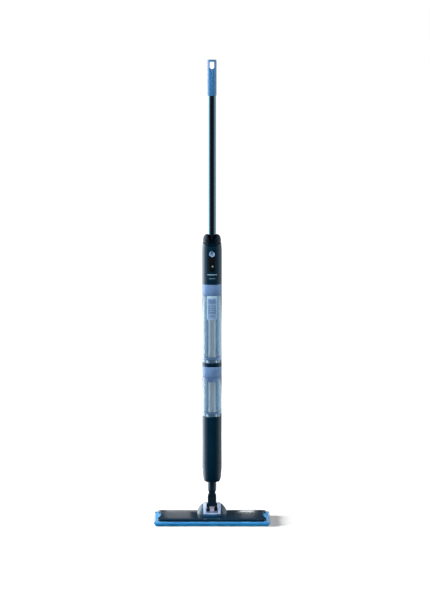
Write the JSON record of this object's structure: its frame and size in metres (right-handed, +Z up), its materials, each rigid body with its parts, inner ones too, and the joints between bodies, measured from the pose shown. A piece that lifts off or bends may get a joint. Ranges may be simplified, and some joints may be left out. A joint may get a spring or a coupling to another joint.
{
  "type": "cordless wash mop",
  "caption": "Upright flat mop with a padded head on a two-axis joint, stacked clean and dirty water tanks, a motor housing, a control housing and a pole with a hanging cap.",
  "frame": {"origin": "on the floor, under the middle of the pad", "axes": "+X along the pad's length to the right seen from the front, +Y to the rear, so the display faces -Y, +Z up"},
  "size_m": [0.332, 0.14, 1.3274],
  "materials": {
    "pad_fabric": "blue looped microfibre",
    "hook_fabric": "dark hook tape",
    "navy_gloss": "gloss moulded plastic, dark navy",
    "navy_satin": "satin moulded plastic, dark navy",
    "cradle_silver": "pale silver-blue moulded plastic",
    "pole_paint": "aluminium tube painted gloss navy",
    "spine_silver": "plain satin aluminium tube",
    "cap_blue": "mid-blue moulded plastic",
    "zinc": "satin cast metal",
    "steel": "bright steel",
    "tank_clear": "clear blue-tinted moulded plastic",
    "lid_blue": "translucent blue moulded plastic",
    "lens_black": "black display window",
    "button_blue": "glossy light blue",
    "rubber_black": "black rubber",
    "inner_grey": "grey moulded plastic",
    "board_green": "green circuit board",
    "cell_wrap": null,
    "hose_clear": "clear soft hose"
  },
  "bodies": {
    "head": {"base_plate": "navy_satin", "head_cover": "navy_gloss", "hook_strip_front": "hook_fabric", "hook_strip_rear": "hook_fabric", "wetting_bar": "inner_grey", "suction_bar": "inner_grey", "pivot_cradle": "cradle_silver", "dome_left": "navy_gloss", "dome_right": "navy_gloss", "pitch_pin": "steel", "pitch_bush_left": "rubber_black", "pitch_bush_right": "rubber_black"},
    "pad": {"mop_pad": "pad_fabric"},
    "swivel": {"pivot_block": "zinc", "knuckle": "navy_satin", "tilt_pin": "steel"},
    "clean_tank": {"clean_tank_shell": "tank_clear", "clean_tank_valve": "rubber_black", "clean_tank_lid": "lid_blue", "clean_tank_seal": "lid_blue"},
    "dirty_tank": {"dirty_tank_shell": "tank_clear", "dirty_tank_valve": "rubber_black", "dirty_tank_lid": "lid_blue", "dirty_tank_seal": "lid_blue"},
    "button": {"power_button": "button_blue"},
    "stick": {"neck": "navy_satin", "neck_nut": "inner_grey", "housing_cup": "navy_gloss", "housing_sleeve": "navy_gloss", "tank_seat": "inner_grey", "pump_mount": "inner_grey", "supply_pump_head": "inner_grey", "return_pump_head": "inner_grey", "supply_pump_motor": "steel", "return_pump_motor": "steel", "power_board": "board_green", "battery_tray_lower": "inner_grey", "battery_tray_upper": "inner_grey", "battery_cell_1": "cell_wrap", "battery_cell_2": "cell_wrap", "battery_cell_3": "cell_wrap", "supply_hose_lower": "hose_clear", "return_hose_lower": "hose_clear", "supply_hose_upper": "hose_clear", "return_hose_upper": "hose_clear", "spine_tube": "spine_silver", "valve_ring": "navy_gloss", "port_gasket": "rubber_black", "wire_harness": "rubber_black", "control_housing": "navy_gloss", "charge_socket": "lens_black", "display_lens": "lens_black", "button_switch": "inner_grey", "control_board": "board_green", "pole_socket": "inner_grey", "top_collar": "navy_gloss", "pole": "pole_paint", "hanging_cap": "cap_blue"}
  },
  "joints": [
    {"name": "pad_peel", "type": "slide", "parent": "head", "child": "pad", "axis": [0, 0, -1], "range_m": [0, 0.03]},
    {"name": "head_pitch", "type": "hinge", "parent": "head", "child": "swivel", "pos_m": [0, 0, 0.034], "axis": [1, 0, 0], "range_deg": [-70, 70]},
    {"name": "side_tilt", "type": "hinge", "parent": "swivel", "child": "stick", "pos_m": [0, 0, 0.0723], "axis": [0, 1, 0], "range_deg": [-70, 70]},
    {"name": "clean_tank_pull", "type": "slide", "parent": "stick", "child": "clean_tank", "axis": [0, -1, 0], "range_m": [0, 0.06]},
    {"name": "dirty_tank_pull", "type": "slide", "parent": "stick", "child": "dirty_tank", "axis": [0, -1, 0], "range_m": [0, 0.06]},
    {"name": "power_button_press", "type": "slide", "parent": "stick", "child": "button", "axis": [0, 1, 0], "range_m": [0, 0.0015], "stiffness_N_per_m": 600}
  ]
}
